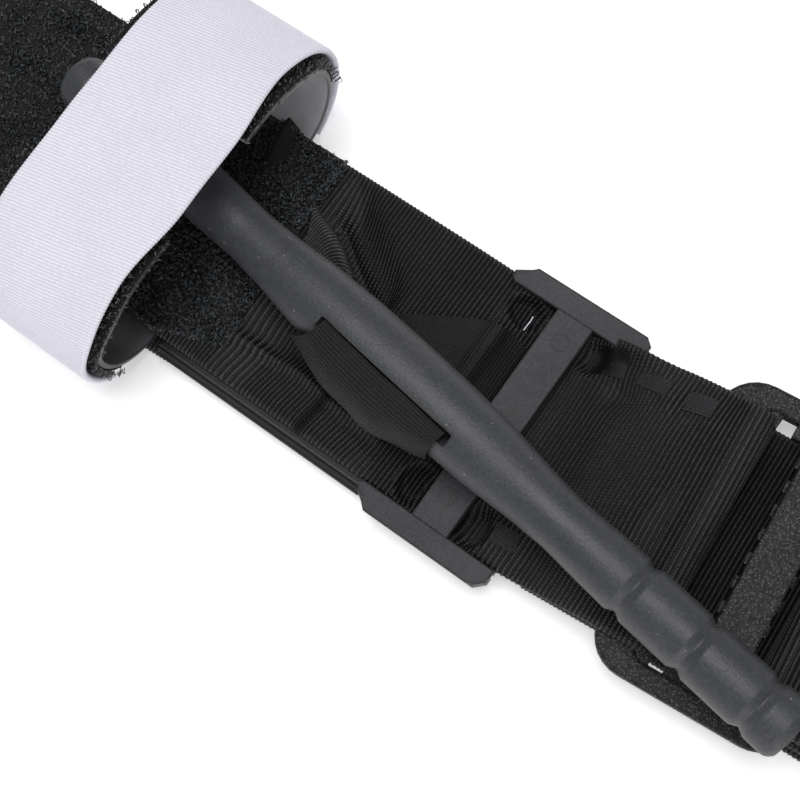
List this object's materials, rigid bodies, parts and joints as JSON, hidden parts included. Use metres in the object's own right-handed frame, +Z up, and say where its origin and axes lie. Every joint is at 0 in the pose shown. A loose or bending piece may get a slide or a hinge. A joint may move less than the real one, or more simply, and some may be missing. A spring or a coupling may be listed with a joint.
{
  "type": "windlass tourniquet",
  "caption": "Webbing limb tourniquet with a windlass rod held in a two-horned clip, a slotted base plate, a routing buckle and a white security strap.",
  "frame": {"origin": "on the resting face of the lower band run, below the open end of the windlass clip", "axes": "+X along the band from the clip to the buckle, +Y across the band to the side where the security strap's free end hangs, +Z up from the resting face"},
  "size_m": [0.39, 0.0635, 0.0264],
  "materials": {
    "webbing": "black ribbed nylon webbing",
    "loop_pile": "black loop pile",
    "inner_weave": "dark fine-woven strap",
    "plate_nylon": "fine-grained black moulding",
    "buckle_nylon": "coarse-grained black moulding",
    "rod_nylon": "satin charcoal moulding",
    "white_webbing": "white fine-ribbed woven tape",
    "hook_tape": "black moulded hook tape"
  },
  "bodies": {
    "band_and_plate": {"band_lower": "webbing", "band_left_bend": "webbing", "band_right_bend": "webbing", "base_plate": "plate_nylon", "band_sleeve_under": "webbing", "inner_strap_in_sleeve": "inner_weave", "band_sleeve_top": "webbing", "loop_tape": "loop_pile", "windlass_clip": "plate_nylon", "hook_tape_far": "hook_tape", "hook_tape_near": "hook_tape", "security_strap_anchor": "white_webbing", "inner_strap_left": "inner_weave", "inner_strap_right": "inner_weave", "band_in_frame": "webbing", "band_fixed_end": "webbing", "band_incoming": "webbing", "band_incoming_rise": "webbing"},
    "security_strap": {"security_strap": "white_webbing"},
    "inner_strap": {"inner_strap_belly": "inner_weave", "inner_strap_in_slot": "inner_weave"},
    "windlass": {"windlass_rod": "rod_nylon"},
    "buckle": {"routing_buckle": "buckle_nylon", "tail_fold": "webbing"},
    "tail": {"tail": "webbing", "tail_hook_tape": "hook_tape", "band_tip": "webbing"}
  },
  "joints": [
    {"name": "security_strap_open", "type": "hinge", "parent": "band_and_plate", "child": "security_strap", "pos_m": [-0.0129, -0.02595, 0.0218], "axis": [1, 0, 0], "range_deg": [0, 120]},
    {"name": "windlass_turn", "type": "hinge", "parent": "band_and_plate", "child": "inner_strap", "pos_m": [0.0344, -0.0045, 0.0135], "axis": [0, 0, 1], "range_deg": [-8, 8]},
    {"name": "windlass_lift", "type": "slide", "parent": "inner_strap", "child": "windlass", "axis": [0, 0, 1], "range_m": [0, 0.0045], "deforming": ["inner_strap_belly", "inner_strap_in_slot"]},
    {"name": "buckle_tilt", "type": "hinge", "parent": "band_and_plate", "child": "buckle", "pos_m": [0.07594, 0.00144, 0.0063], "axis": [0.0872, -0.9962, 0], "range_deg": [0, 2]},
    {"name": "tail_peel", "type": "hinge", "parent": "buckle", "child": "tail", "pos_m": [0.10767, 0.00421, 0.00825], "axis": [0.0872, -0.9962, 0], "range_deg": [0, 70]}
  ]
}
